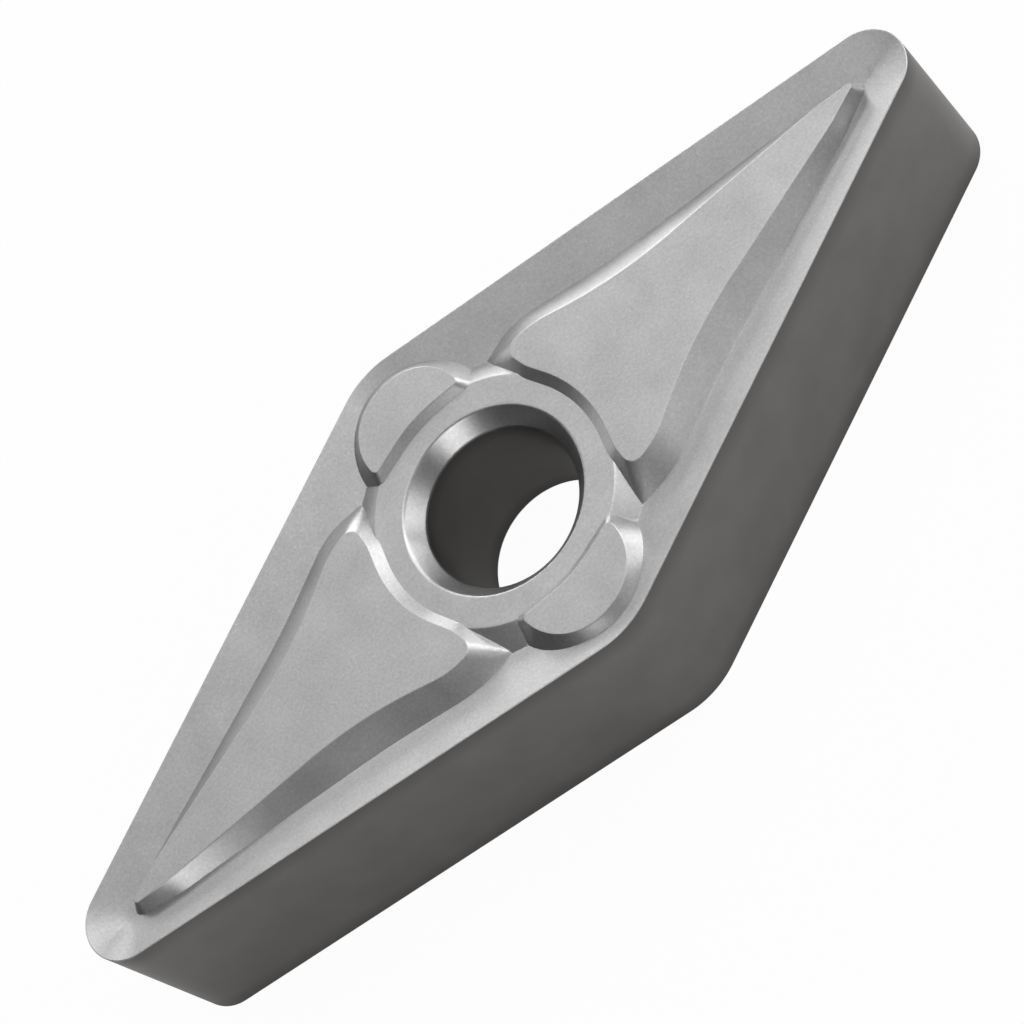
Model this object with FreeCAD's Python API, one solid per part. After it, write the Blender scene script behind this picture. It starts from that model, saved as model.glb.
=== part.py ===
# Double-sided turning insert: a 35 degree rhombic blank of sintered carbide with a
# clamping hole and the same moulded chip former on both faces.
# Lengths are in millimetres and angles in degrees. X runs along the long diagonal,
# Z along the hole. The origin is on the hole axis, in the plane of the lower seats.

import FreeCAD
import Part
import math
import os

# Blank
POINT_ANGLE = 35.0        # between the two straight sides that meet at a cutting point
INSCRIBED_DIA = 9.525     # circle that touches all four straight sides
THICKNESS = 4.76          # lower seats to the upper cutting edges
NOSE_R = 1.0              # rounding of the two cutting points
BLUNT_R = 2.4             # rounding of the two blunt corners
HONE_R = 0.03             # rounding of the cutting edges

# Rim that slopes inwards from the cutting edges
RAKE_ANGLE = 18.5         # fall of the rim, measured from the seat plane
RIM_REACH = 1.6           # how far in from the cutting edge the slope is carried
VALLEY_R = 0.08           # rounding of the crease where two slopes meet

# Clamping hole and the flat ring round it
BORE_DIA = 3.81
CHAMFER_WIDTH = 0.36
CHAMFER_DEPTH = 0.47
RING_WIDTH = 0.735        # flat between the chamfer and the ring's outer edge
RING_DROP = 0.13          # ring below the cutting edges
RING_WALL_ANGLE = 30.0    # fall of the ring's outer wall

# Raised seats. Each has the outline of its flat top, and spreads that give how much
# further out its walls stand at the foot level, just under the bottom of the rim.
SEAT_RISE = 0.05          # seats above the cutting edges
FOOT_BURY = 0.015         # foot level below the deepest point of the rim
SKIRT_INSET = 0.1         # the buried skirts stay this far inside the straight sides

# Arrow seat, one on each half of the long diagonal: corners of the +X, +Y half.
# Gaps are along X, and insets at right angles to the straight side.
TIP_GAP = 1.22            # front corner, behind the cutting point
TIP_R = 0.08
TIP_SPREAD = 0.52
TIP_FOOT_R = 0.30
FRONT_GAP = 1.16          # front bend of the sides, behind the front corner
FRONT_INSET = 1.12
FRONT_R = 2.5
FRONT_SPREAD = 0.47
WAIST_GAP = 2.55          # middle of the hollow sides, outside the ring
WAIST_INSET = 1.89
WAIST_R = 11.0
WAIST_SPREAD = 1.18
SHOULDER_GAP = 0.38       # where the sides turn back to the hole, outside the ring
SHOULDER_INSET = 1.55
SHOULDER_R = 2.5
SHOULDER_SHIFT = 0.18     # towards the hole at foot level
SHOULDER_SPREAD = 0.90
SHOULDER_FOOT_R = 1.2
LOBE_LAP = 0.40           # rear corners, inside the ring's outer edge
LOBE_INSET = 1.76
LOBE_R = 0.36
LOBE_SHIFT = 0.54
LOBE_SPREAD = 0.42
LOBE_FOOT_R = 0.05
BEND_LAP = 0.31           # rear bends, inside the ring's outer edge
BEND_Y = 1.62
BEND_R = 1.0
BEND_SHIFT = 0.81
BEND_FOOT_SHIFT_Y = 0.17
REAR_GAP = 0.27           # middle of the hollow rear edge, outside the ring
REAR_R = 3.3
REAR_SHIFT = 0.87
REAR_FOOT_R = 2.3

# Half-moon seat, one inside each blunt corner
MOON_HALF_WIDTH = 1.42
MOON_LAND = 0.62          # rim left between the seat and the blunt cutting edge
MOON_SIDE_SPREAD = 0.51
MOON_OUTER_SPREAD = 0.75
MOON_END_LAP = 0.26       # ends of the inner edge, inside the ring's outer edge
MOON_END_R = 0.12
MOON_END_SPREAD = 0.43
MOON_END_SHIFT = 0.69
MOON_INNER_GAP = 0.03     # middle of the inner edge, outside the ring
MOON_INNER_R = 3.5
MOON_INNER_SHIFT = 0.75
MOON_INNER_FOOT_R = 2.8

HALF_ANGLE = math.radians(POINT_ANGLE / 2)
RAKE = math.tan(math.radians(RAKE_ANGLE))
UPPER_EDGE_Z = THICKNESS
LOWER_EDGE_Z = SEAT_RISE
HEIGHT = THICKNESS + SEAT_RISE
FOOT_Z = UPPER_EDGE_Z - RIM_REACH * RAKE - FOOT_BURY
RING_R = BORE_DIA / 2 + CHAMFER_WIDTH + RING_WIDTH
POINT_X = INSCRIBED_DIA / 2 / math.sin(HALF_ANGLE)
BLUNT_Y = INSCRIBED_DIA / 2 / math.cos(HALF_ANGLE)
NOSE_X = POINT_X - NOSE_R * (1 / math.sin(HALF_ANGLE) - 1)
BLUNT_EDGE_Y = BLUNT_Y - BLUNT_R * (1 / math.cos(HALF_ANGLE) - 1)
STRAIGHT = 1e-6           # turns smaller than this have no arc


def side_y(x, inset):
    """Y of the straight side at x, moved in by inset."""
    return BLUNT_Y - x * math.tan(HALF_ANGLE) - inset / math.cos(HALF_ANGLE)


def mirrored(corners):
    """The corners followed by their images in the X axis, as one loop."""
    images = [(x, -y, r) for x, y, r in reversed(corners) if y != 0]
    return corners + images


def bends_of(corners):
    """For each corner: its point, the unit vectors in and out, and half the turn."""
    count = len(corners)
    points = [FreeCAD.Vector(x, y, 0) for x, y, r in corners]
    bends = []
    for i in range(count):
        way_in = (points[i] - points[i - 1]).normalize()
        way_out = (points[(i + 1) % count] - points[i]).normalize()
        half_turn = way_in.getAngle(way_out) / 2
        bends.append((points[i], way_in, way_out, half_turn))
    return bends


def reaches(corners, bends):
    """How far each rounding runs along its two sides.

    Where two roundings don't fit on the side between them, both give way in proportion.
    """
    count = len(corners)
    full = [corners[i][2] * math.tan(bends[i][3]) + STRAIGHT for i in range(count)]
    share = [1.0] * count
    for i in range(count):
        nxt = (i + 1) % count
        side = (bends[nxt][0] - bends[i][0]).Length
        fit = min(1.0, 0.999 * side / (full[i] + full[nxt]))
        share[i] = min(share[i], fit)
        share[nxt] = min(share[nxt], fit)
    return [a * b for a, b in zip(full, share)]


def rounding(bend, reach, lift):
    """Tangent arc at one corner, or a straight piece where the corner hardly turns."""
    point, way_in, way_out, half_turn = bend
    start = point - way_in * reach + lift
    end = point + way_out * reach + lift
    if half_turn < STRAIGHT:
        return Part.LineSegment(start, end).toShape(), start, end
    radius = reach / math.tan(half_turn)
    inward = (way_out - way_in).normalize()
    middle = point + inward * (radius * (1 / math.cos(half_turn) - 1)) + lift
    return Part.Arc(start, middle, end).toShape(), start, end


def rounded_wire(corners, z):
    """Closed wire at height z through corners (x, y, radius)."""
    bends = bends_of(corners)
    lift = FreeCAD.Vector(0, 0, z)
    arcs = [rounding(*pair, lift) for pair in zip(bends, reaches(corners, bends))]
    edges = []
    for i, (arc, start, end) in enumerate(arcs):
        next_start = arcs[(i + 1) % len(arcs)][1]
        edges.append(arc)
        edges.append(Part.LineSegment(end, next_start).toShape())
    return Part.Wire(edges)


def rhombus(inset):
    """Corners of the blank's outline moved in by inset, from the +X cutting point."""
    point_x = POINT_X - inset / math.sin(HALF_ANGLE)
    blunt_y = BLUNT_Y - inset / math.cos(HALF_ANGLE)
    nose_r = max(NOSE_R - inset, VALLEY_R)
    blunt_r = max(BLUNT_R - inset, VALLEY_R)
    return [
        (point_x, 0, nose_r),
        (0, blunt_y, blunt_r),
        (-point_x, 0, nose_r),
        (0, -blunt_y, blunt_r),
    ]


def prism(inset, low, high):
    """Upright block on the blank's outline moved in by inset."""
    face = Part.Face(rounded_wire(rhombus(inset), low))
    return face.extrude(FreeCAD.Vector(0, 0, high - low))


def tapered(low_corners, low_z, high_corners, high_z):
    """Solid between two outlines with the same number of corners."""
    wires = [rounded_wire(low_corners, low_z), rounded_wire(high_corners, high_z)]
    return Part.makeLoft(wires, True, True)


def rim_pocket():
    """What the sloping rim takes out of the upper face, before the seats are added."""
    round_end = min(NOSE_R, BLUNT_R, RIM_REACH) - VALLEY_R
    steps = [0.0, round_end, RIM_REACH]
    stages = [
        tapered(rhombus(inner), UPPER_EDGE_Z - inner * RAKE,
                rhombus(outer), UPPER_EDGE_Z - outer * RAKE)
        for outer, inner in zip(steps, steps[1:])]
    return stages[0].fuse(stages[1])


def seat(top_corners, foot_corners):
    """Raised seat: flat top, sloping walls, and a skirt buried in the blank."""
    body = tapered(foot_corners, FOOT_Z, top_corners, HEIGHT)
    return body.common(prism(SKIRT_INSET, FOOT_Z - 1, HEIGHT + 1))


def arrow_seat():
    """Arrow-shaped seat on the +X half: hollow sides, rounded rear lobes."""
    tip_x = NOSE_X - TIP_GAP
    front_x = tip_x - FRONT_GAP
    waist_x = RING_R + WAIST_GAP
    shoulder_x = RING_R + SHOULDER_GAP
    lobe_x = RING_R - LOBE_LAP
    bend_x = RING_R - BEND_LAP
    rear_x = RING_R + REAR_GAP
    top = [
        (tip_x, 0, TIP_R),
        (front_x, side_y(front_x, FRONT_INSET), FRONT_R),
        (waist_x, side_y(waist_x, WAIST_INSET), WAIST_R),
        (shoulder_x, side_y(shoulder_x, SHOULDER_INSET), SHOULDER_R),
        (lobe_x, side_y(lobe_x, LOBE_INSET), LOBE_R),
        (bend_x, BEND_Y, BEND_R),
        (rear_x, 0, REAR_R),
    ]
    shoulder_foot_x = shoulder_x - SHOULDER_SHIFT
    lobe_foot_x = lobe_x - LOBE_SHIFT
    foot = [
        (tip_x + TIP_SPREAD, 0, TIP_FOOT_R),
        (front_x, side_y(front_x, FRONT_INSET - FRONT_SPREAD), FRONT_R),
        (waist_x, side_y(waist_x, WAIST_INSET - WAIST_SPREAD), WAIST_R),
        (shoulder_foot_x, side_y(shoulder_foot_x, SHOULDER_INSET - SHOULDER_SPREAD),
         SHOULDER_FOOT_R),
        (lobe_foot_x, side_y(lobe_foot_x, LOBE_INSET - LOBE_SPREAD), LOBE_FOOT_R),
        (bend_x - BEND_SHIFT, BEND_Y - BEND_FOOT_SHIFT_Y, BEND_R),
        (rear_x - REAR_SHIFT, 0, REAR_FOOT_R),
    ]
    return seat(mirrored(top), mirrored(foot))


def moon_corners(half_width, outer_y, end_x, end_y, middle_y, middle_r):
    """Half-moon outline on the +Y side: round outside, slightly hollow inside."""
    return [
        (half_width, outer_y, half_width),
        (-half_width, outer_y, half_width),
        (-end_x, end_y, MOON_END_R),
        (0, middle_y, middle_r),
        (end_x, end_y, MOON_END_R),
    ]


def moon_seat():
    """Half-moon seat inside the +Y blunt corner."""
    outer_y = BLUNT_EDGE_Y - MOON_LAND
    end_y = RING_R - MOON_END_LAP
    middle_y = RING_R + MOON_INNER_GAP
    top = moon_corners(
        MOON_HALF_WIDTH, outer_y, MOON_HALF_WIDTH, end_y, middle_y, MOON_INNER_R)
    foot = moon_corners(
        MOON_HALF_WIDTH + MOON_SIDE_SPREAD, outer_y + MOON_OUTER_SPREAD,
        MOON_HALF_WIDTH + MOON_END_SPREAD, end_y - MOON_END_SHIFT,
        middle_y - MOON_INNER_SHIFT, MOON_INNER_FOOT_R)
    return seat(top, foot)


def ring():
    """Flat ring round the hole with its sloping outer wall."""
    fall = UPPER_EDGE_Z - RING_DROP - FOOT_Z
    foot_r = RING_R + fall / math.tan(math.radians(RING_WALL_ANGLE))
    return Part.makeCone(foot_r, RING_R, fall, FreeCAD.Vector(0, 0, FOOT_Z))


def half_turned(solid):
    """The solid turned half way round the hole axis."""
    return solid.rotated(FreeCAD.Vector(0, 0, 0), FreeCAD.Vector(0, 0, 1), 180)


def flipped(solid):
    """The solid's image on the lower face."""
    return solid.mirror(FreeCAD.Vector(0, 0, HEIGHT / 2), FreeCAD.Vector(0, 0, 1))


def bore():
    """Clamping hole with its mouth chamfers."""
    mouth_z = UPPER_EDGE_Z - RING_DROP
    radius = BORE_DIA / 2
    hole = Part.makeCylinder(radius, HEIGHT + 2, FreeCAD.Vector(0, 0, -1))
    mouth = Part.makeCone(
        radius, radius + CHAMFER_WIDTH, CHAMFER_DEPTH,
        FreeCAD.Vector(0, 0, mouth_z - CHAMFER_DEPTH))
    above = Part.makeCylinder(
        radius + CHAMFER_WIDTH, RING_DROP + SEAT_RISE + 1, FreeCAD.Vector(0, 0, mouth_z))
    return hole.fuse([mouth, above, flipped(mouth), flipped(above)])


def hone(solid):
    """Round the cutting edges of both faces."""
    levels = (LOWER_EDGE_Z, UPPER_EDGE_Z)
    cutting = [
        e for e in solid.Edges
        if any(all(abs(v.Z - z) < 1e-6 for v in e.Vertexes) for z in levels)
        and math.hypot(e.CenterOfMass.x, e.CenterOfMass.y) > RING_R]
    return solid.makeFillet(HONE_R, cutting)


def insert():
    """The whole insert, as one solid."""
    blank = prism(0, LOWER_EDGE_Z, UPPER_EDGE_Z)
    pocket = rim_pocket()
    blank = blank.cut([pocket, flipped(pocket)])
    blank = hone(blank)
    arrow = arrow_seat()
    moon = moon_seat()
    upper = [ring(), arrow, half_turned(arrow), moon, half_turned(moon)]
    lower = [flipped(solid) for solid in upper]
    body = blank.fuse(upper + lower)
    return body.cut(bore()).removeSplitter()


os.makedirs("parts", exist_ok=True)
part = insert()
print("valid", part.isValid(), "solids", len(part.Solids), "faces", len(part.Faces))
print("volume mm3", round(part.Volume, 3), "box", part.BoundBox)
part.exportStep("parts/insert.step")
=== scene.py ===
import bpy
import math
import numpy as np
from mathutils import Matrix, Vector
from mathutils.geometry import delaunay_2d_cdt
from mathutils.kdtree import KDTree


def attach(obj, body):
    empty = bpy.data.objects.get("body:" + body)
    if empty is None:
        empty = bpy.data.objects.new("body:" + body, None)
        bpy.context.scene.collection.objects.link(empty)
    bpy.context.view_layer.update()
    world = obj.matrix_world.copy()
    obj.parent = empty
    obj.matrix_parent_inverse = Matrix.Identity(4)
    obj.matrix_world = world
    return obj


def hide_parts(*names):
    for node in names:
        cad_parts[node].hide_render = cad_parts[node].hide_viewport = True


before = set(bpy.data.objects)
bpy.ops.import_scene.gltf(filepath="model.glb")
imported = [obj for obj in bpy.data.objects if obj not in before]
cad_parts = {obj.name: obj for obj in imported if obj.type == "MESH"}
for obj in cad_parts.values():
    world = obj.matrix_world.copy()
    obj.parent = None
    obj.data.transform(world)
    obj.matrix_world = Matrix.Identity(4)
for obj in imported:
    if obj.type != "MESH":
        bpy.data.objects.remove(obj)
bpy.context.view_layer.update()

mm = 0.001


# helpers for node trees and colours

def addNode(tree, kind, settings=None, links=None):
    # links: socket name or number -> another node's socket, or a plain value
    node = tree.nodes.new(kind)
    for name, value in (settings or {}).items():
        setattr(node, name, value)
    for socket, source in (links or {}).items():
        if isinstance(source, bpy.types.NodeSocket):
            tree.links.new(source, node.inputs[socket])
        else:
            node.inputs[socket].default_value = source
    return node


def linearColour(hexCode):
    # sRGB hex to the linear colour that sockets take
    channels = [int(hexCode[i:i + 2], 16) / 255 for i in (1, 3, 5)]
    return [c / 12.92 if c <= 0.04045 else ((c + 0.055) / 1.055) ** 2.4 for c in channels] + [1.0]


# the carbide insert: sizes in millimetres and degrees

insertSizes = {
    "pointAngle": 35.0, "inscribedDia": 9.525, "thickness": 4.76,
    "noseR": 1.0, "bluntR": 2.4, "honeR": 0.02,
    "rakeAngle": 18.5, "rimReach": 1.6,   # the rim falls inwards from the edge over this width
    "footBury": 0.015,                    # how far below the rim's foot the seats' walls start
    "boreDia": 3.81, "chamferWidth": 0.36, "chamferDepth": 0.47,
    "boreEase": 0.03,                     # rounding where the chamfer meets the bore
    "ringWidth": 0.735, "ringDrop": 0.13, "ringWallAngle": 30.0,
    "seatRise": 0.05,                     # how far the seats stand above the cutting edge
    "skin": 0.003,                        # how far inside the solid's flank the surface lies
    "edgeSoftness": 0.016,                # rounding of the seats' and the ring's upper edges
    "footSoftness": 0.004,                # hollow where the walls meet the rim
    "boreSoftness": 0.07,                 # rounding of the hole's mouth
    "creaseAngle": 22.0,                  # edges that turn more than this are shaded sharp
}

# arrow seat: gaps along X, insets square to the straight side, spreads out to the foot
arrowSizes = {
    "tipGap": 1.22, "tipR": 0.08, "tipSpread": 0.52, "tipFootR": 0.30,
    "frontGap": 1.16, "frontInset": 1.12, "frontR": 2.5, "frontSpread": 0.47,
    "waistGap": 2.55, "waistInset": 1.89, "waistR": 11.0, "waistSpread": 1.18,
    "shoulderGap": 0.38, "shoulderInset": 1.55, "shoulderR": 2.5,
    "shoulderShift": 0.18, "shoulderSpread": 0.90, "shoulderFootR": 1.2,
    "lobeLap": 0.40, "lobeInset": 1.76, "lobeR": 0.36,
    "lobeShift": 0.54, "lobeSpread": 0.42, "lobeFootR": 0.05,
    "bendLap": 0.31, "bendY": 1.62, "bendR": 1.0, "bendShift": 0.81, "bendFootShiftY": 0.17,
    "rearGap": 0.27, "rearR": 3.3, "rearShift": 0.87, "rearFootR": 2.3,
}

# half-moon seat inside each blunt corner
moonSizes = {
    "halfWidth": 1.42, "land": 0.62, "sideSpread": 0.51, "outerSpread": 0.75,
    "endLap": 0.26, "endR": 0.12, "endSpread": 0.43, "endShift": 0.69,
    "innerGap": 0.03, "innerR": 3.5, "innerShift": 0.75, "innerFootR": 2.8,
}

# how fine the mesh is, in millimetres and degrees
meshDetail = {
    # points along the edges, along the outlines at each level, along the feet, round the hole
    "rowSpacing": 0.085, "maxTurn": 9.0,
    "loopSpacing": 0.03, "loopTurn": 3.0,
    "footSpacing": 0.045, "footTurn": 2.5,
    "holeSteps": 48,
    "levels": (0.0, 0.2, 0.4, 0.6, 0.8, 1.0),
    "thinnestStep": 0.005,     # least distance between two levels
    # rows inside the cutting edge and round the bore, as shares of the hone and of the ease
    "honeShares": (0.03, 0.14, 0.36, 0.68, 1.0, 1.45, 2.6),
    "easeShares": (0, 0.12, 0.4, 0.7, 1.0, 1.5),
    # rows beside the mouth, the upper edges, the walls' feet, and down the walls
    "mouthRows": (-0.09, -0.056, -0.036, -0.018, 0, 0.018, 0.036, 0.056, 0.09),
    "edgeRows": (0.0, -0.008, 0.008, -0.018, 0.018, -0.05, 0.05),
    "wallRows": (0.14, 0.21, 0.29, 0.38, 0.49, 0.62, 0.77, 0.95, 1.15),
    "creaseRows": (0.0, -0.005, 0.005),
    "footRows": (-0.014, 0.014, -0.03, 0.03, -0.055, 0.055, -0.09, 0.09),
    # rows down the flank and the bore to mid height, as shares of the way
    "flankDrops": (0.006, 0.25, 0.6, 1.0), "boreDrops": (0.006, 0.3, 0.65, 1.0),
    # how near a point of those rows may come to the points that are already there
    "edgeGap": 0.007, "wallGap": 0.05, "creaseGap": 0.004, "footGap": 0.008,
    "rowClearance": 0.9,       # share of it that is enough where the gap also spaces the row
    "footSpread": 0.8,         # least distance along a foot, as a share of footSpacing
    # square lattices that fill the rest: spacing, and how near in height two surfaces are there
    "lattice": ((0.30, 9.0), (0.15, 0.42), (0.075, 0.26)),
    "latticeClearance": 0.62,  # share of the spacing kept free round the points already there
    "footReach": 0.12,         # foot rows count where two surfaces are this near in height
    "edgeDepth": 0.012,        # other rows count where their own surface is no further below the top
    "clearMouth": 0.12,        # beside the mouth, kept for its own rows
    "clearEdge": 0.012,        # beside the cutting edge's rows and the axes
    "probeReach": 1.5, "probeStep": 0.02,     # search for a wall's foot
    "arcShare": 0.999,         # how much of a side its two rounded corners may take
    "weldGap": 0.0002,         # mirrored points nearer than this become one
    # lengths that count as nothing, and the decimals that points are rounded to
    "onAxis": 1e-7, "tiny": 1e-9, "decimals": 6,
}

sizes = insertSizes
halfAngle = math.radians(sizes["pointAngle"] / 2)
rakeSlope = math.tan(math.radians(sizes["rakeAngle"]))
height = sizes["thickness"] + sizes["seatRise"]
upperEdgeZ = sizes["thickness"]
footZ = upperEdgeZ - sizes["rimReach"] * rakeSlope - sizes["footBury"]
boreR = sizes["boreDia"] / 2
mouthR = boreR + sizes["chamferWidth"]
ringR = mouthR + sizes["ringWidth"]
ringZ = upperEdgeZ - sizes["ringDrop"]
ringSlope = math.tan(math.radians(sizes["ringWallAngle"]))
pointX = sizes["inscribedDia"] / 2 / math.sin(halfAngle)
bluntY = sizes["inscribedDia"] / 2 / math.cos(halfAngle)
noseX = pointX - sizes["noseR"] * (1 / math.sin(halfAngle) - 1)
bluntEdgeY = bluntY - sizes["bluntR"] * (1 / math.cos(halfAngle) - 1)
noseCentreX = noseX - sizes["noseR"]
bluntCentreY = bluntEdgeY - sizes["bluntR"]


def sideY(x, inset):
    return bluntY - x * math.tan(halfAngle) - inset / math.cos(halfAngle)


def roundedLoop(corners, spacing, maxTurn):
    # closed loop of points round a polygon whose corners (x, y, radius) are rounded, and rounded
    # less where two arcs would overlap on a side
    points = np.array([c[:2] for c in corners])
    sides = np.roll(points, -1, axis=0) - points
    lengths = np.hypot(*sides.T)
    wayOut = sides / lengths[:, None]
    wayIn = np.roll(wayOut, 1, axis=0)
    turns = np.arctan2(wayIn[:, 0] * wayOut[:, 1] - wayIn[:, 1] * wayOut[:, 0],
                       (wayIn * wayOut).sum(axis=1))
    full = np.array([c[2] for c in corners]) * np.tan(abs(turns) / 2)
    room = meshDetail["arcShare"] * lengths
    fit = np.minimum(1, room / (full + np.roll(full, -1) + meshDetail["tiny"]))
    reach = full * np.minimum(fit, np.roll(fit, 1))
    loop = []
    for i in range(len(corners)):
        start = points[i] - wayIn[i] * reach[i]
        radius = reach[i] / math.tan(abs(turns[i]) / 2)
        inward = np.array([-wayIn[i][1], wayIn[i][0]]) * math.copysign(1, turns[i])
        centre = start + inward * radius
        steps = max(math.ceil(abs(turns[i]) / math.radians(maxTurn)),
                    math.ceil(abs(turns[i]) * radius / spacing), 1)
        angles = turns[i] * np.arange(steps + 1) / steps
        arm = start - centre
        arc = centre + np.stack([arm[0] * np.cos(angles) - arm[1] * np.sin(angles),
                                 arm[0] * np.sin(angles) + arm[1] * np.cos(angles)], axis=1)
        nextStart = points[(i + 1) % len(corners)] - wayOut[i] * reach[(i + 1) % len(corners)]
        gap = nextStart - arc[-1]
        cuts = max(math.ceil(np.hypot(*gap) / spacing), 1)
        straight = arc[-1] + gap * (np.arange(1, cuts) / cuts)[:, None]
        loop += [arc, straight]
    return np.concatenate(loop)


def halfPath(loop, axis):
    # the part of a symmetric loop on the positive side, from axis to axis, with unit normals
    side = loop[:, axis] > meshDetail["onAxis"]
    first = int(np.flatnonzero(side & ~np.roll(side, 1))[0])
    rolled = np.roll(loop, -first, axis=0)
    count = int(side.sum())
    ends = []
    for inner, outer in ((rolled[0], rolled[-1]), (rolled[count - 1], rolled[count % len(loop)])):
        share = inner[axis] / (inner[axis] - outer[axis])
        end = inner + (outer - inner) * share
        end[axis] = 0
        ends.append(end)
    path = np.concatenate([ends[:1], rolled[:count], ends[1:]])
    tangent = np.gradient(path, axis=0)
    tangent[0] = (path[1] - path[0]) * (np.arange(2) == axis)
    tangent[-1] = (path[-1] - path[-2]) * (np.arange(2) == axis)
    tangent /= np.hypot(*tangent.T)[:, None]
    return path, np.stack([tangent[:, 1], -tangent[:, 0]], axis=1)


def signedDistance(points, loop):
    # distance to a closed loop that runs anticlockwise, negative inside
    tree = KDTree(len(loop))
    for number, (x, y) in enumerate(loop):
        tree.insert((x, y, 0), number)
    tree.balance()
    nearest = np.array([tree.find((x, y, 0))[1] for x, y in points])
    best = np.full(len(points), np.inf)
    signed = np.zeros(len(points))
    for start, end in ((nearest - 1, nearest), (nearest, (nearest + 1) % len(loop))):
        along = loop[end] - loop[start]
        offset = points - loop[start]
        share = np.clip((offset * along).sum(axis=1) / (along ** 2).sum(axis=1), 0, 1)
        distance = np.hypot(*(offset - share[:, None] * along).T)
        outside = along[:, 0] * offset[:, 1] - along[:, 1] * offset[:, 0] < 0
        closer = distance < best
        signed[closer] = np.where(outside, distance, -distance)[closer]
        best = np.minimum(best, distance)
    return signed


def mirroredCorners(corners):
    return corners + [(x, -y, r) for x, y, r in reversed(corners) if y != 0]


def arrowOutlines():
    # corners of the arrow seat's flat top and of its foot, on the +X side
    arrow = arrowSizes
    tipX = noseX - arrow["tipGap"]
    frontX = tipX - arrow["frontGap"]
    waistX = ringR + arrow["waistGap"]
    shoulderX = ringR + arrow["shoulderGap"]
    lobeX = ringR - arrow["lobeLap"]
    bendX = ringR - arrow["bendLap"]
    rearX = ringR + arrow["rearGap"]
    top = [(tipX, 0, arrow["tipR"]),
           (frontX, sideY(frontX, arrow["frontInset"]), arrow["frontR"]),
           (waistX, sideY(waistX, arrow["waistInset"]), arrow["waistR"]),
           (shoulderX, sideY(shoulderX, arrow["shoulderInset"]), arrow["shoulderR"]),
           (lobeX, sideY(lobeX, arrow["lobeInset"]), arrow["lobeR"]),
           (bendX, arrow["bendY"], arrow["bendR"]),
           (rearX, 0, arrow["rearR"])]
    shoulderFootX = shoulderX - arrow["shoulderShift"]
    lobeFootX = lobeX - arrow["lobeShift"]
    foot = [(tipX + arrow["tipSpread"], 0, arrow["tipFootR"]),
            (frontX, sideY(frontX, arrow["frontInset"] - arrow["frontSpread"]), arrow["frontR"]),
            (waistX, sideY(waistX, arrow["waistInset"] - arrow["waistSpread"]), arrow["waistR"]),
            (shoulderFootX, sideY(shoulderFootX, arrow["shoulderInset"] - arrow["shoulderSpread"]),
             arrow["shoulderFootR"]),
            (lobeFootX, sideY(lobeFootX, arrow["lobeInset"] - arrow["lobeSpread"]), arrow["lobeFootR"]),
            (bendX - arrow["bendShift"], arrow["bendY"] - arrow["bendFootShiftY"], arrow["bendR"]),
            (rearX - arrow["rearShift"], 0, arrow["rearFootR"])]
    return mirroredCorners(top), mirroredCorners(foot)


def moonOutlines():
    # corners of the half-moon seat's flat top and of its foot, on the +Y side
    moon = moonSizes
    outerY = bluntEdgeY - moon["land"]
    endY = ringR - moon["endLap"]
    innerY = ringR + moon["innerGap"]

    def outline(halfWidth, outer, endX, end, inner, innerR):
        return [(halfWidth, outer, halfWidth), (-halfWidth, outer, halfWidth),
                (-endX, end, moon["endR"]), (0, inner, innerR), (endX, end, moon["endR"])]

    top = outline(moon["halfWidth"], outerY, moon["halfWidth"], endY, innerY, moon["innerR"])
    foot = outline(moon["halfWidth"] + moon["sideSpread"], outerY + moon["outerSpread"],
                   moon["halfWidth"] + moon["endSpread"], endY - moon["endShift"],
                   innerY - moon["innerShift"], moon["innerFootR"])
    return top, foot


def rimInset(points):
    # how far in from the cutting edge a point of the quarter lies
    x, y = points.T
    inset = (bluntY - x * math.tan(halfAngle) - y) * math.cos(halfAngle)
    toNose = np.arctan2(y, x - noseCentreX) < math.pi / 2 - halfAngle
    toBlunt = np.arctan2(x, y - bluntCentreY) < halfAngle
    inset = np.where(toNose, sizes["noseR"] - np.hypot(x - noseCentreX, y), inset)
    return np.where(toBlunt, sizes["bluntR"] - np.hypot(x, y - bluntCentreY), inset) - sizes["skin"]


def wallLoops(top, foot):
    # outlines of a seat at levels from its foot to its flat top
    fine = meshDetail
    loops = []
    for level in fine["levels"]:
        corners = [[low + (high - low) * level for high, low in zip(*pair)]
                   for pair in zip(top, foot)]
        loop = roundedLoop(corners, fine["loopSpacing"], fine["loopTurn"])
        area = (loop[:, 0] * np.roll(loop[:, 1], -1) - np.roll(loop[:, 0], -1) * loop[:, 1]).sum()
        loops.append(loop if area > 0 else loop[::-1])
    return loops


def wallLevels(points, loops):
    # 0 at a seat's foot outline, 1 at the outline of its flat top, and on past both
    levels = np.array(meshDetail["levels"])
    distances = np.stack([signedDistance(points, loop) for loop in loops])
    below = np.clip((distances < 0).sum(axis=0) - 1, 0, len(levels) - 2)
    each = np.arange(len(points))
    low, high = distances[below, each], distances[below + 1, each]
    share = -low / np.maximum(high - low, meshDetail["thinnestStep"])
    return levels[below] + share * (levels[below + 1] - levels[below])


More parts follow.
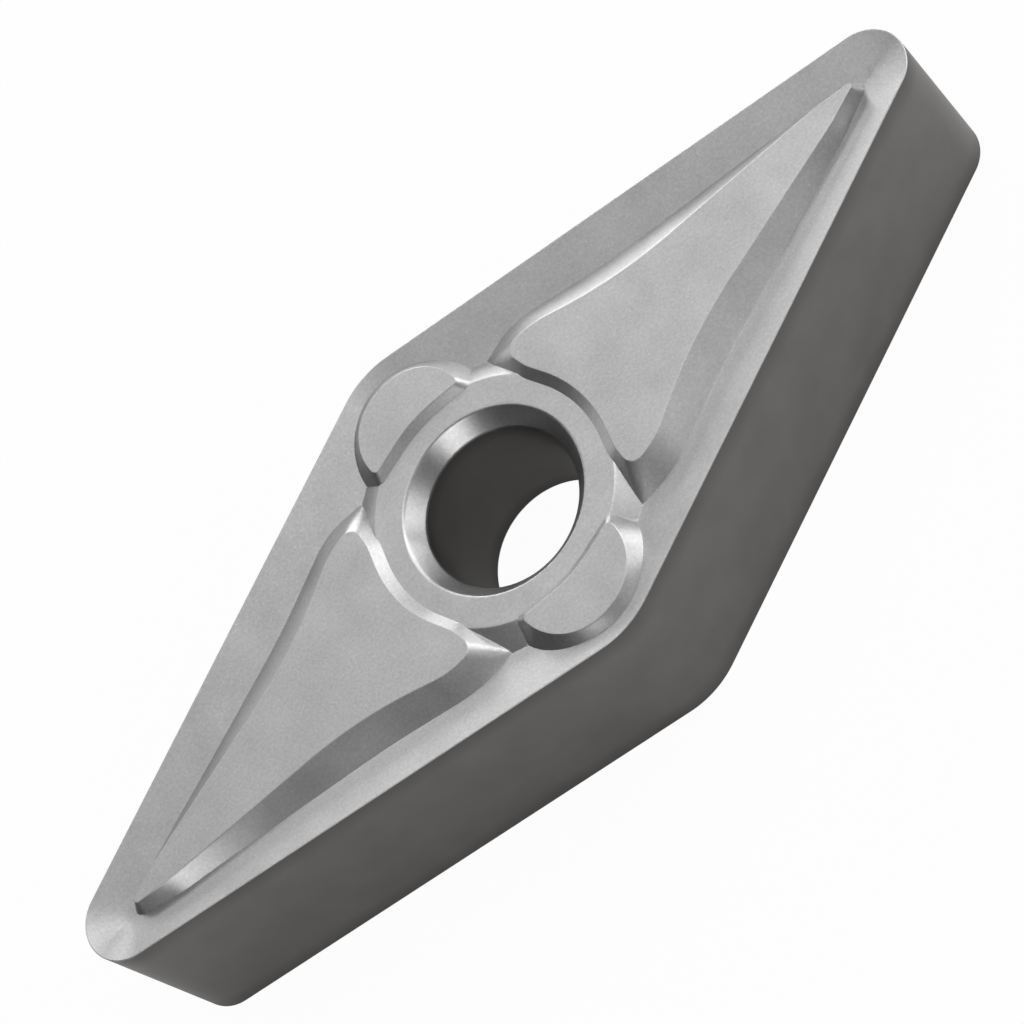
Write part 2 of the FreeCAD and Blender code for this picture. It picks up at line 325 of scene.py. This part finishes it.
def outlineRow(inset):
    # one row of points along the quarter's outline, moved in by inset
    inset = inset + sizes["skin"]
    spacing = meshDetail["rowSpacing"]
    noseSweep = math.pi / 2 - halfAngle
    noseSteps = math.ceil(noseSweep / math.radians(meshDetail["maxTurn"] / 2))
    bluntSteps = math.ceil(halfAngle * sizes["bluntR"] / spacing)
    noseTurn = noseSweep * np.arange(noseSteps + 1) / noseSteps
    bluntTurn = noseSweep + halfAngle * np.arange(bluntSteps + 1) / bluntSteps
    noseArc = np.stack([noseCentreX + (sizes["noseR"] - inset) * np.cos(noseTurn),
                        (sizes["noseR"] - inset) * np.sin(noseTurn)], axis=1)
    bluntArc = np.stack([(sizes["bluntR"] - inset) * np.cos(bluntTurn),
                         bluntCentreY + (sizes["bluntR"] - inset) * np.sin(bluntTurn)], axis=1)
    gap = bluntArc[0] - noseArc[-1]
    cuts = math.ceil(np.hypot(*gap) / spacing)
    side = noseArc[-1] + gap * (np.arange(1, cuts) / cuts)[:, None]
    row = np.concatenate([noseArc, side, bluntArc])
    row[0, 1] = 0
    row[-1, 0] = 0
    return row


def circleRow(radius, steps):
    # one row of points along a quarter circle round the hole
    angles = math.pi / 2 * np.arange(steps + 1) / steps
    row = radius * np.stack([np.cos(angles), np.sin(angles)], axis=1)
    row[0, 1] = 0
    row[-1, 0] = 0
    return row


def spaced(row, gap):
    # numbers of the row's points that don't crowd the one before, always with both ends
    kept = [0]
    for i in range(1, len(row) - 1):
        if min(np.hypot(*(row[i] - row[kept[-1]])), np.hypot(*(row[i] - row[-1]))) >= gap:
            kept.append(i)
    return kept + [len(row) - 1]


def planSurfaces(points, loops):
    # height of rim, ring, arrow and moon at each point, before they are joined
    rim = upperEdgeZ - np.minimum(rimInset(points), sizes["rimReach"]) * rakeSlope
    levels = [wallLevels(points, seatLoops) for seatLoops in loops]
    seats = [np.minimum(footZ + level * (height - footZ), height) for level in levels]
    ring = np.minimum(ringZ, ringZ - (np.hypot(*points.T) - ringR) * ringSlope)
    return np.stack([rim, ring] + seats)


def footLine(path, normals, number, loops):
    # where the wall that starts at an upper edge meets what lies below it
    step = meshDetail["probeStep"]
    shifts = np.arange(0, meshDetail["probeReach"], step)
    probes = path[:, None] + normals[:, None] * shifts[:, None]
    heights = planSurfaces(probes.reshape(-1, 2), loops)
    above = heights[number] - np.delete(heights, number, axis=0).max(axis=0)
    above = above.reshape(len(path), len(shifts))
    each = np.arange(len(path))
    after = (above < 0).argmax(axis=1)
    met = after > 0
    before = np.maximum(after - 1, 0)
    share = above[each, before] / np.where(met, above[each, before] - above[each, after], 1)
    return (path + normals * ((before + share) * step)[:, None])[met], normals[met]


def planPoints(loops):
    # plan view points of the quarter face, dense along its edges and creases
    fine = meshDetail
    honeTurn = sizes["honeR"] * (1 + math.sin(math.radians(sizes["rakeAngle"])))
    insets = [0] + [honeTurn * share for share in fine["honeShares"]]
    fixed = [outlineRow(inset) for inset in insets]
    holeRows = [boreR + sizes["boreEase"] * share for share in fine["easeShares"]]
    holeRows += [mouthR + shift for shift in fine["mouthRows"]]
    fixed += [circleRow(radius, fine["holeSteps"]) for radius in holeRows]
    points = np.concatenate(fixed)

    # rows along the upper edges, down the walls and along their feet
    groups = []
    feet = []
    outlines = (arrowOutlines()[0], moonOutlines()[0])
    for number, (corners, axis) in enumerate(zip(outlines, (1, 0)), 2):
        path, normals = halfPath(roundedLoop(corners, fine["rowSpacing"], fine["maxTurn"]), axis)
        for shift in fine["edgeRows"] + fine["wallRows"]:
            gap = fine["edgeGap"] if shift in fine["edgeRows"] else fine["wallGap"]
            row = path + normals * shift
            groups.append((row[spaced(row, gap)], number, gap * fine["rowClearance"]))
        footCurve = roundedLoop(corners, fine["footSpacing"], fine["footTurn"])
        feet.append(footLine(*halfPath(footCurve, axis), number, loops))
    quarterRing = ringR * math.pi / 2
    for shift in fine["edgeRows"]:
        row = circleRow(ringR + shift, math.ceil(quarterRing / fine["rowSpacing"]))
        groups.append((row, 1, fine["edgeGap"]))
    ringPath = circleRow(ringR, math.ceil(quarterRing / fine["footSpacing"]))
    feet.append(footLine(ringPath, ringPath / ringR, 1, loops))
    for line, normals in feet:
        kept = spaced(line, fine["footSpacing"] * fine["footSpread"])
        for shifts, gap in ((fine["creaseRows"], fine["creaseGap"]),
                            (fine["footRows"], fine["footGap"])):
            for shift in shifts:
                groups.append((line[kept] + normals[kept] * shift, fine["footReach"], gap))
    groups.sort(key=lambda group: group[2])
    for spacing, crease in fine["lattice"]:
        xs = np.arange(0, noseX, spacing)
        ys = np.arange(0, bluntEdgeY, spacing)
        grid = np.stack(np.meshgrid(xs, ys), axis=-1).reshape(-1, 2)
        groups.append((grid, crease, spacing * fine["latticeClearance"]))

    # what is left of each group: clear of the fixed rows, on its own surface or near a crease
    innerR = mouthR + fine["clearMouth"]
    outerInset = insets[-1] + fine["clearEdge"]
    for group, rule, gap in groups:
        inside = ((rimInset(group) > outerInset) & (np.hypot(*group.T) > innerR)
                  & (group.min(axis=1) > -fine["tiny"]))
        group = group[inside]
        nearAxis = (group < fine["clearEdge"]) & (group > 0)
        group = group[~nearAxis.any(axis=1)]
        heights = planSurfaces(group, loops)
        if isinstance(rule, int):
            group = group[heights[rule] > heights.max(axis=0) - fine["edgeDepth"]]
        else:
            ranked = np.sort(heights, axis=0)
            group = group[ranked[-1] - ranked[-2] < rule]
        tree = KDTree(len(points))
        for number, point in enumerate(points):
            tree.insert((*point, 0), number)
        tree.balance()
        clear = [tree.find((*point, 0))[2] > gap for point in group]
        points = np.concatenate([points, group[clear]])
    return points, fixed[0], fixed[len(insets)]


def eighthMesh():
    # an eighth of the insert, flat: its quarter face and half the drop of flank and bore
    decimals = meshDetail["decimals"]
    loops = [wallLoops(*arrowOutlines()), wallLoops(*moonOutlines())]
    points, outline, bore = planPoints(loops)
    points = np.unique(points.round(decimals), axis=0)
    onX = points[points[:, 1] == 0]
    onY = points[points[:, 0] == 0]
    onX = onX[np.argsort(onX[:, 0])]
    onY = onY[np.argsort(-onY[:, 1])]
    border = np.concatenate([onX, outline.round(decimals)[1:-1],
                             onY, bore.round(decimals)[::-1][1:-1]])
    index = {tuple(p): i for i, p in enumerate(points)}
    ring = [index[tuple(p)] for p in border]
    found = delaunay_2d_cdt([Vector(p) for p in points], [], [ring], 1, meshDetail["onAxis"])
    plan = np.array([tuple(v) for v in found[0]])
    faces = [list(f) for f in found[2]]

    # strips for the flank and the bore, from the face's border down to mid height
    tree = KDTree(len(plan))
    for number, point in enumerate(plan):
        tree.insert((*point, 0), number)
    tree.balance()
    drop = [0.0] * len(plan)
    plan = list(map(tuple, plan))
    strips = ((outline, meshDetail["flankDrops"]), (bore[::-1], meshDetail["boreDrops"]))
    for row, shares in strips:
        above = [tree.find((*point, 0))[1] for point in row]
        for share in shares:
            below = list(range(len(plan), len(plan) + len(row)))
            plan += [plan[i] for i in above]
            drop += [share] * len(row)
            faces += [[below[i], below[i + 1], above[i + 1], above[i]] for i in range(len(row) - 1)]
            above = below
    plan = np.array(plan)

    mesh = bpy.data.meshes.new("insert_eighth")
    mesh.from_pydata([(x * mm, y * mm, 0) for x, y in plan], [], faces)
    values = {"rimInset": rimInset(plan) * mm, "wallDrop": np.array(drop),
              "arrowLevel": wallLevels(plan, loops[0]), "moonLevel": wallLevels(plan, loops[1])}
    for name, data in values.items():
        mesh.attributes.new(name, "FLOAT", "POINT").data.foreach_set("value", data.astype(np.float32))
    print("an eighth of the insert", len(plan), "points", len(faces), "faces")
    return mesh


def bodyValues():
    # what the body's tree is given, with lengths in metres
    lengths = {
        "Height": height, "Edge Height": upperEdgeZ, "Hone Radius": sizes["honeR"],
        "Rim Reach": sizes["rimReach"], "Foot Height": footZ, "Ring Height": ringZ,
        "Ring Radius": ringR, "Mouth Radius": mouthR, "Bore Radius": boreR,
        "Chamfer Depth": sizes["chamferDepth"], "Bore Ease": sizes["boreEase"],
        "Edge Softness": sizes["edgeSoftness"], "Foot Softness": sizes["footSoftness"],
        "Bore Softness": sizes["boreSoftness"], "Weld Gap": meshDetail["weldGap"],
    }
    values = {name: length * mm for name, length in lengths.items()}
    values["Rake Slope"] = rakeSlope
    values["Ring Slope"] = ringSlope
    values["Crease Angle"] = math.radians(sizes["creaseAngle"])
    return values


def bodyTree(values):
    # the rule of the body: heights from insets and levels, then three mirrors
    tree = bpy.data.node_groups.new("insert_body", "GeometryNodeTree")
    tree.interface.new_socket("Geometry", in_out="INPUT", socket_type="NodeSocketGeometry")
    tree.interface.new_socket("Geometry", in_out="OUTPUT", socket_type="NodeSocketGeometry")
    for name, value in values.items():
        socket = tree.interface.new_socket(name, in_out="INPUT", socket_type="NodeSocketFloat")
        socket.default_value = value
    tree.interface.new_socket("Material", in_out="INPUT", socket_type="NodeSocketMaterial")
    given = addNode(tree, "NodeGroupInput").outputs

    # what the sums below may name: the inputs, the mesh's own values and the distance from the axis
    known = {name: given[name] for name in values}
    for name in ("rimInset", "wallDrop", "arrowLevel", "moonLevel"):
        stored = addNode(tree, "GeometryNodeInputNamedAttribute", {"data_type": "FLOAT"}, {0: name})
        known[name] = stored.outputs["Attribute"]
    position = addNode(tree, "GeometryNodeInputPosition").outputs[0]
    fromAxis = addNode(tree, "ShaderNodeVectorMath", {"operation": "LENGTH"}, {0: position})
    known["radius"] = fromAxis.outputs["Value"]

    sums = [
        # rim: a slope, with a tangent arc of the hone radius at the cutting edge
        ("rake", "ARCTANGENT", "Rake Slope"),
        ("rakeSine", "SINE", "rake"),
        ("rakeCosine", "COSINE", "rake"),
        ("honeEnd", "MULTIPLY_ADD", "rakeSine", "Hone Radius", "Hone Radius"),
        ("pastHone", "MAXIMUM", "rimInset", "honeEnd"),
        ("slopeInset", "MINIMUM", "pastHone", "Rim Reach"),
        ("slopeFall", "MULTIPLY", "slopeInset", "Rake Slope"),
        ("slopeZ", "SUBTRACT", "Edge Height", "slopeFall"),
        ("shortOfEnd", "SUBTRACT", "rimInset", "honeEnd"),
        ("onArc", "MINIMUM", "shortOfEnd", 0.0),
        ("arcEnd", "SUBTRACT", "honeEnd", "Hone Radius"),
        ("arcAcross", "ADD", "onArc", "arcEnd"),
        ("acrossSquared", "MULTIPLY", "arcAcross", "arcAcross"),
        ("radiusSquared", "MULTIPLY", "Hone Radius", "Hone Radius"),
        ("upSquared", "SUBTRACT", "radiusSquared", "acrossSquared"),
        ("arcUp", "SQRT", "upSquared"),
        ("arcFull", "MULTIPLY", "rakeCosine", "Hone Radius"),
        ("arcFall", "SUBTRACT", "arcUp", "arcFull"),
        ("rimZ", "ADD", "slopeZ", "arcFall"),
        # ring: flat, with a sloping outer wall
        ("pastRing", "SUBTRACT", "radius", "Ring Radius"),
        ("ringFall", "MULTIPLY", "pastRing", "Ring Slope"),
        ("ringWallZ", "SUBTRACT", "Ring Height", "ringFall"),
        ("ringZ", "SMOOTH_MIN", "ringWallZ", "Ring Height", "Edge Softness"),
        ("withRing", "SMOOTH_MAX", "rimZ", "ringZ", "Foot Softness"),
        # seats: walls that rise with the level, cut off by the flat tops
        ("wallRise", "SUBTRACT", "Height", "Foot Height"),
        ("arrowWallZ", "MULTIPLY_ADD", "arrowLevel", "wallRise", "Foot Height"),
        ("arrowZ", "SMOOTH_MIN", "arrowWallZ", "Height", "Edge Softness"),
        ("withArrow", "SMOOTH_MAX", "withRing", "arrowZ", "Foot Softness"),
        ("moonWallZ", "MULTIPLY_ADD", "moonLevel", "wallRise", "Foot Height"),
        ("moonZ", "SMOOTH_MIN", "moonWallZ", "Height", "Edge Softness"),
        ("withMoon", "SMOOTH_MAX", "withArrow", "moonZ", "Foot Softness"),
        # hole: a chamfer at the mouth, and a small ease where it meets the bore
        ("mouthIn", "SUBTRACT", "radius", "Mouth Radius"),
        ("chamferRun", "SUBTRACT", "Mouth Radius", "Bore Radius"),
        ("chamferSlope", "DIVIDE", "Chamfer Depth", "chamferRun"),
        ("chamferZ", "MULTIPLY_ADD", "mouthIn", "chamferSlope", "Ring Height"),
        ("withChamfer", "SMOOTH_MIN", "withMoon", "chamferZ", "Bore Softness"),
        ("pastBore", "SUBTRACT", "radius", "Bore Radius"),
        ("easeShare", "DIVIDE", "pastBore", "Bore Ease"),
        ("easeLeft", "SUBTRACT", 1.0, "easeShare"),
        ("easeCut", "MAXIMUM", "easeLeft", 0.0),
        ("easeSquared", "MULTIPLY", "easeCut", "easeCut"),
        ("easeFall", "MULTIPLY", "easeSquared", "Bore Ease"),
        ("topZ", "SUBTRACT", "withChamfer", "easeFall"),
        # flank and bore run straight down to mid height
        ("middle", "MULTIPLY", "Height", 0.5),
        ("toMiddle", "SUBTRACT", "middle", "topZ"),
        ("wholeZ", "MULTIPLY_ADD", "toMiddle", "wallDrop", "topZ"),
    ]
    for name, operation, *values in sums:
        links = {number: known.get(value, value) for number, value in enumerate(values)}
        known[name] = addNode(tree, "ShaderNodeMath", {"operation": operation}, links).outputs[0]
    lift = addNode(tree, "ShaderNodeCombineXYZ", None, {"Z": known["wholeZ"]}).outputs[0]
    body = addNode(tree, "GeometryNodeSetPosition", None,
                   {"Geometry": given["Geometry"], "Offset": lift}).outputs[0]

    # mirrors: across both diagonals, then to the lower face
    mirrors = (((1, -1, 1), 0.0), ((-1, 1, 1), 0.0), ((1, 1, -1), given["Height"]))
    for scale, shift in mirrors:
        moved = addNode(tree, "ShaderNodeCombineXYZ", None, {"Z": shift}).outputs[0]
        image = addNode(tree, "GeometryNodeTransform", None,
                        {"Geometry": body, "Translation": moved, "Scale": scale}).outputs[0]
        image = addNode(tree, "GeometryNodeFlipFaces", None, {"Mesh": image}).outputs[0]
        join = addNode(tree, "GeometryNodeJoinGeometry")
        tree.links.new(body, join.inputs[0])
        tree.links.new(image, join.inputs[0])
        body = join.outputs[0]
    body = addNode(tree, "GeometryNodeMergeByDistance", None,
                   {"Geometry": body, "Distance": given["Weld Gap"]}).outputs[0]
    body = addNode(tree, "GeometryNodeSetShadeSmooth", None, {"Geometry": body}).outputs[0]
    turn = addNode(tree, "GeometryNodeInputMeshEdgeAngle").outputs["Unsigned Angle"]
    soft = addNode(tree, "ShaderNodeMath", {"operation": "LESS_THAN"},
                   {0: turn, 1: given["Crease Angle"]})
    body = addNode(tree, "GeometryNodeSetShadeSmooth", {"domain": "EDGE"},
                   {"Geometry": body, "Shade Smooth": soft.outputs[0]}).outputs[0]
    body = addNode(tree, "GeometryNodeRealizeInstances", None, {"Geometry": body}).outputs[0]
    body = addNode(tree, "GeometryNodeSetMaterial", None,
                   {"Geometry": body, "Material": given["Material"]}).outputs[0]
    addNode(tree, "NodeGroupOutput", None, {"Geometry": body})
    return tree


def makeInsert(material):
    source = bpy.data.objects.new("insert_source", eighthMesh())
    source.data.materials.append(material)
    bpy.context.scene.collection.objects.link(source)
    modifier = source.modifiers.new("body", "NODES")
    values = bodyValues()
    modifier.node_group = bodyTree(values)
    values["Material"] = material
    for item in modifier.node_group.interface.items_tree:
        if item.in_out == "INPUT" and item.name in values:
            modifier[item.identifier] = values[item.name]
    evaluated = source.evaluated_get(bpy.context.evaluated_depsgraph_get())
    mesh = bpy.data.meshes.new_from_object(evaluated)
    bpy.data.objects.remove(source)
    mesh.name = "carbide_insert"
    piece = bpy.data.objects.new("carbide_insert", mesh)
    bpy.context.scene.collection.objects.link(piece)
    triangles = sum(len(face.vertices) - 2 for face in mesh.polygons)
    print("insert", len(mesh.vertices), "points", triangles, "triangles")
    return piece


# materials

carbideLook = {
    # the ground colour is the ground finish's, made darker as painted shade on the flanks and the hole
    "sinteredColour": "#adadad", "groundFinishAndShadeColour": "#7c7a78",
    "sinteredRoughness": 0.40, "groundRoughness": 0.42, "chamferRoughness": 0.36,
    "roughnessSpread": 0.03,
    # width in mm, detail and roughness of the noise for a cluster of grains, one bright facet, and
    # the patches left by pressing and by the grinding wheel; real grains are about 0.001 mm, far too
    # fine to show, so the first two are drawn as coarse as they need to show
    "noises": {"grain": (0.075, 2.0, 0.6), "speck": (0.045, 0.0, 0.5), "cloud": (1.1, 3.0, 0.55)},
    "grainHeight": 0.0022,    # mm
    "groundGrain": 0.35,      # share of that height which is left where ground
    # tones: the noise's low and high end, and how dark and how light those turn the colour
    "tones": {"grain": (0.3, 0.7, 0.92, 1.08), "speck": (0.68, 0.80, 1.0, 1.16),
              "cloud": (0.3, 0.7, 0.94, 1.06)},
    "groundTone": (0.3, 0.7, 0.92, 1.08),
    # shares of the way down to mid height: the ground walls start past the first, and the second is
    # where they are at full tone; nearer the top and bottom edges they carry painted shade, as dark
    # as the third value at the edge
    "groundFrom": 0.003, "flankShade": 0.30, "paintedEdgeShade": 0.74,
}


def sinteredCarbide():
    # Tungsten carbide with cobalt. The faces are as pressed and sintered: satin grey metal with a
    # fine mottled grain and bright specks. The flanks and the hole are ground: softly clouded, with a
    # fainter grain, and darker, partly as painted shade, with more painted shade towards their edges.
    # The chamfer is smoother, so its highlights are tighter.
    look = carbideLook
    material = bpy.data.materials.new("sintered_and_ground_tungsten_carbide")
    material.use_nodes = True
    tree = material.node_tree
    tree.nodes.clear()
    place = addNode(tree, "ShaderNodeTexCoord").outputs["Object"]
    inMm = addNode(tree, "ShaderNodeVectorMath", {"operation": "SCALE"}, {0: place, "Scale": 1 / mm})
    noises = {}
    for name, (width, detail, rough) in look["noises"].items():
        noise = addNode(tree, "ShaderNodeTexNoise", None,
                        {"Vector": inMm.outputs[0], "Scale": 1 / width, "Detail": detail,
                         "Roughness": rough})
        noises[name] = noise.outputs[0]

    # where the surface is ground, and where it is the hole's chamfer
    drop = addNode(tree, "ShaderNodeAttribute", {"attribute_name": "wallDrop"}).outputs["Fac"]
    ground = addNode(tree, "ShaderNodeMath", {"operation": "GREATER_THAN"},
                     {0: drop, 1: look["groundFrom"]}).outputs[0]
    flat = addNode(tree, "ShaderNodeVectorMath", {"operation": "MULTIPLY"},
                   {0: inMm.outputs[0], 1: (1, 1, 0)})
    fromAxis = addNode(tree, "ShaderNodeVectorMath", {"operation": "LENGTH"}, {0: flat.outputs[0]})
    inMouth = addNode(tree, "ShaderNodeMath", {"operation": "LESS_THAN"},
                      {0: fromAxis.outputs["Value"], 1: mouthR})

    # tone: how much lighter or darker than its colour each spot is; on the ground walls it also carries
    # painted shade towards the edges
    tone = 1.0
    for name, (low, high, darkest, lightest) in look["tones"].items():
        share = addNode(tree, "ShaderNodeMapRange", None,
                        {0: noises[name], 1: low, 2: high, 3: darkest, 4: lightest})
        tone = addNode(tree, "ShaderNodeMath", {"operation": "MULTIPLY"},
                       {0: tone, 1: share.outputs[0]}).outputs[0]
    low, high, darkest, lightest = look["groundTone"]
    clouds = addNode(tree, "ShaderNodeMapRange", None,
                     {0: noises["cloud"], 1: low, 2: high, 3: darkest, 4: lightest})
    # painted shade: the ground walls darken towards the face's top and bottom edges
    shade = addNode(tree, "ShaderNodeMapRange", {"interpolation_type": "SMOOTHSTEP"},
                    {0: drop, 1: 0.0, 2: look["flankShade"], 3: look["paintedEdgeShade"], 4: 1.0})
    groundTone = addNode(tree, "ShaderNodeMath", {"operation": "MULTIPLY"},
                         {0: shade.outputs[0], 1: clouds.outputs[0]})
    finalTone = addNode(tree, "ShaderNodeMix", None, {0: ground, 2: tone, 3: groundTone.outputs[0]})
    # the ground walls take the ground colour, which is darker partly as painted shade
    plain = addNode(tree, "ShaderNodeMix", {"data_type": "RGBA"},
                    {0: ground, 6: linearColour(look["sinteredColour"]),
                     7: linearColour(look["groundFinishAndShadeColour"])})
    colour = addNode(tree, "ShaderNodeVectorMath", {"operation": "SCALE"},
                     {0: plain.outputs[2], "Scale": finalTone.outputs[0]})

    # roughness: clouds make it uneven, and the chamfer and the ground walls have their own
    spread = look["roughnessSpread"]
    low, high = look["tones"]["cloud"][:2]
    uneven = addNode(tree, "ShaderNodeMapRange", None,
                     {0: noises["cloud"], 1: low, 2: high, 3: -spread, 4: spread})
    faceRough = addNode(tree, "ShaderNodeMix", None,
                        {0: inMouth.outputs[0], 2: look["sinteredRoughness"],
                         3: look["chamferRoughness"]})
    allRough = addNode(tree, "ShaderNodeMix", None,
                       {0: ground, 2: faceRough.outputs[0], 3: look["groundRoughness"]})
    rough = addNode(tree, "ShaderNodeMath", {"operation": "ADD"},
                    {0: allRough.outputs[0], 1: uneven.outputs[0]})

    # bump: the grain stands out on the sintered faces, and much less where ground
    strength = addNode(tree, "ShaderNodeMix", None, {0: ground, 2: 1.0, 3: look["groundGrain"]})
    bump = addNode(tree, "ShaderNodeBump", None,
                   {"Strength": strength.outputs[0], "Distance": look["grainHeight"] * mm,
                    "Height": noises["grain"]})
    shader = addNode(tree, "ShaderNodeBsdfPrincipled", None,
                     {"Base Color": colour.outputs[0], "Metallic": 1.0, "Roughness": rough.outputs[0],
                      "Normal": bump.outputs[0]})
    addNode(tree, "ShaderNodeOutputMaterial", None, {"Surface": shader.outputs[0]})
    print("carbide material made")
    return material


# camera, floor and light

cameraView = {
    "target": (0.107, -0.703, 4.76),   # millimetres, where the middle of the picture looks
    "azimuth": -5.95, "elevation": 55.66, "roll": 53.70,   # degrees
    "distance": 75.55, "lens": 120.43,                     # millimetres
    "nearest": 0.005, "farthest": 10,                      # clipping, in metres
}


def makeCamera():
    view = cameraView
    azimuth, elevation = math.radians(view["azimuth"]), math.radians(view["elevation"])
    back = Vector((-math.sin(azimuth) * math.cos(elevation),
                   -math.cos(azimuth) * math.cos(elevation), math.sin(elevation)))
    level = (-back).to_track_quat("-Z", "Y").to_matrix()
    turned = level @ Matrix.Rotation(-math.radians(view["roll"]), 3, "Z")
    data = bpy.data.cameras.new("camera")
    data.lens = view["lens"]
    data.clip_start, data.clip_end = view["nearest"], view["farthest"]
    camera = bpy.data.objects.new("camera", data)
    camera.location = (Vector(view["target"]) + back * view["distance"]) * mm
    camera.rotation_euler = turned.to_euler()
    bpy.context.scene.collection.objects.link(camera)
    bpy.context.scene.camera = camera


studio = {
    "floorColour": "#d0d0d0", "floorSize": 600,
    "floorDrop": 0.01,         # mm, keeps the card clear of the lower seats
    # how much of its white the card shows whatever shadow falls on it: seen directly, and in metal
    "floorGlow": 0.97, "mirroredGlow": 0.15,
    "worldLevel": 0.1,
    "lampDistance": 300,       # mm
    # soft boxes: azimuth (0 is +Y, 90 is +X) and elevation, width and height in mm, radiance
    "lamps": {
        "low_left_back_strip": (330, 8, 190, 85, 2.0),
        "low_back_strip": (20, 8, 190, 85, 5.8),
        "low_right_back_strip": (70, 8, 190, 85, 4.2),
        "low_right_strip": (120, 8, 190, 85, 4.4),
        "back_box": (15, 26, 160, 110, 0.95),
        "right_box": (90, 26, 160, 110, 2.6),
        "back_strip": (355, 34, 120, 60, 2.2),
        "front_left_box": (202, 24, 160, 85, 4.7),
        "back_bank": (355, 46, 200, 150, 0.7),
        "right_bank": (65, 46, 200, 150, 3.3),
        "front_right_bank": (140, 46, 200, 150, 0.8),
        "high_left_bank": (300, 68, 240, 190, 0.4),
        "high_right_bank": (60, 68, 240, 190, 1.0),
        "overhead": (0, 90, 340, 340, 0.36),
    },
}


def whiteCard():
    # matt white card: nearly all of its white is its own, and the rest takes the object's shadow
    material = bpy.data.materials.new("white_card")
    material.use_nodes = True
    tree = material.node_tree
    tree.nodes.clear()
    card = addNode(tree, "ShaderNodeBsdfDiffuse", None, {"Color": linearColour(studio["floorColour"])})
    glow = addNode(tree, "ShaderNodeEmission", None, {"Color": (1, 1, 1, 1), "Strength": 1.0})
    paths = addNode(tree, "ShaderNodeLightPath")
    indirect = addNode(tree, "ShaderNodeMath", {"operation": "MAXIMUM"},
                       {0: paths.outputs["Is Glossy Ray"], 1: paths.outputs["Is Transmission Ray"]})
    mirrored = addNode(tree, "ShaderNodeMath", {"operation": "MULTIPLY"},
                       {0: indirect.outputs[0], 1: studio["mirroredGlow"]})
    seen = addNode(tree, "ShaderNodeMath", {"operation": "MULTIPLY"},
                   {0: paths.outputs["Is Camera Ray"], 1: studio["floorGlow"]})
    share = addNode(tree, "ShaderNodeMath", {"operation": "MAXIMUM"},
                    {0: seen.outputs[0], 1: mirrored.outputs[0]})
    mix = addNode(tree, "ShaderNodeMixShader", None,
                  {0: share.outputs[0], 1: card.outputs[0], 2: glow.outputs[0]})
    addNode(tree, "ShaderNodeOutputMaterial", None, {"Surface": mix.outputs[0]})
    return material


def makeFloor():
    half = studio["floorSize"] / 2 * mm
    down = -studio["floorDrop"] * mm
    corners = [(-half, -half, down), (half, -half, down), (half, half, down), (-half, half, down)]
    mesh = bpy.data.meshes.new("floor")
    mesh.from_pydata(corners, [], [(0, 1, 2, 3)])
    mesh.materials.append(whiteCard())
    floor = bpy.data.objects.new("floor", mesh)
    bpy.context.scene.collection.objects.link(floor)


def makeLight():
    scene = bpy.context.scene
    scene.world = scene.world or bpy.data.worlds.new("world")
    scene.world.use_nodes = True
    sky = scene.world.node_tree
    sky.nodes.clear()
    level = addNode(sky, "ShaderNodeBackground", None,
                    {"Color": (1, 1, 1, 1), "Strength": studio["worldLevel"]})
    addNode(sky, "ShaderNodeOutputWorld", None, {"Surface": level.outputs[0]})
    for name, (azimuth, elevation, width, tall, radiance) in studio["lamps"].items():
        turn, rise = math.radians(azimuth), math.radians(elevation)
        towards = Vector((math.sin(turn) * math.cos(rise), math.cos(turn) * math.cos(rise),
                          math.sin(rise)))
        data = bpy.data.lights.new(name, "AREA")
        data.shape = "RECTANGLE"
        data.size, data.size_y = width * mm, tall * mm
        data.energy = radiance * math.pi * width * tall * mm * mm
        lamp = bpy.data.objects.new(name, data)
        lamp.location = towards * studio["lampDistance"] * mm
        lamp.rotation_euler = towards.to_track_quat("Z", "Y").to_euler()
        scene.collection.objects.link(lamp)
    scene.view_settings.view_transform = "Standard"


makeCamera()
makeFloor()
makeLight()
print("camera, floor and light made")
insert = makeInsert(sinteredCarbide())
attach(insert, "root")
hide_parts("insert")
print("insert placed")
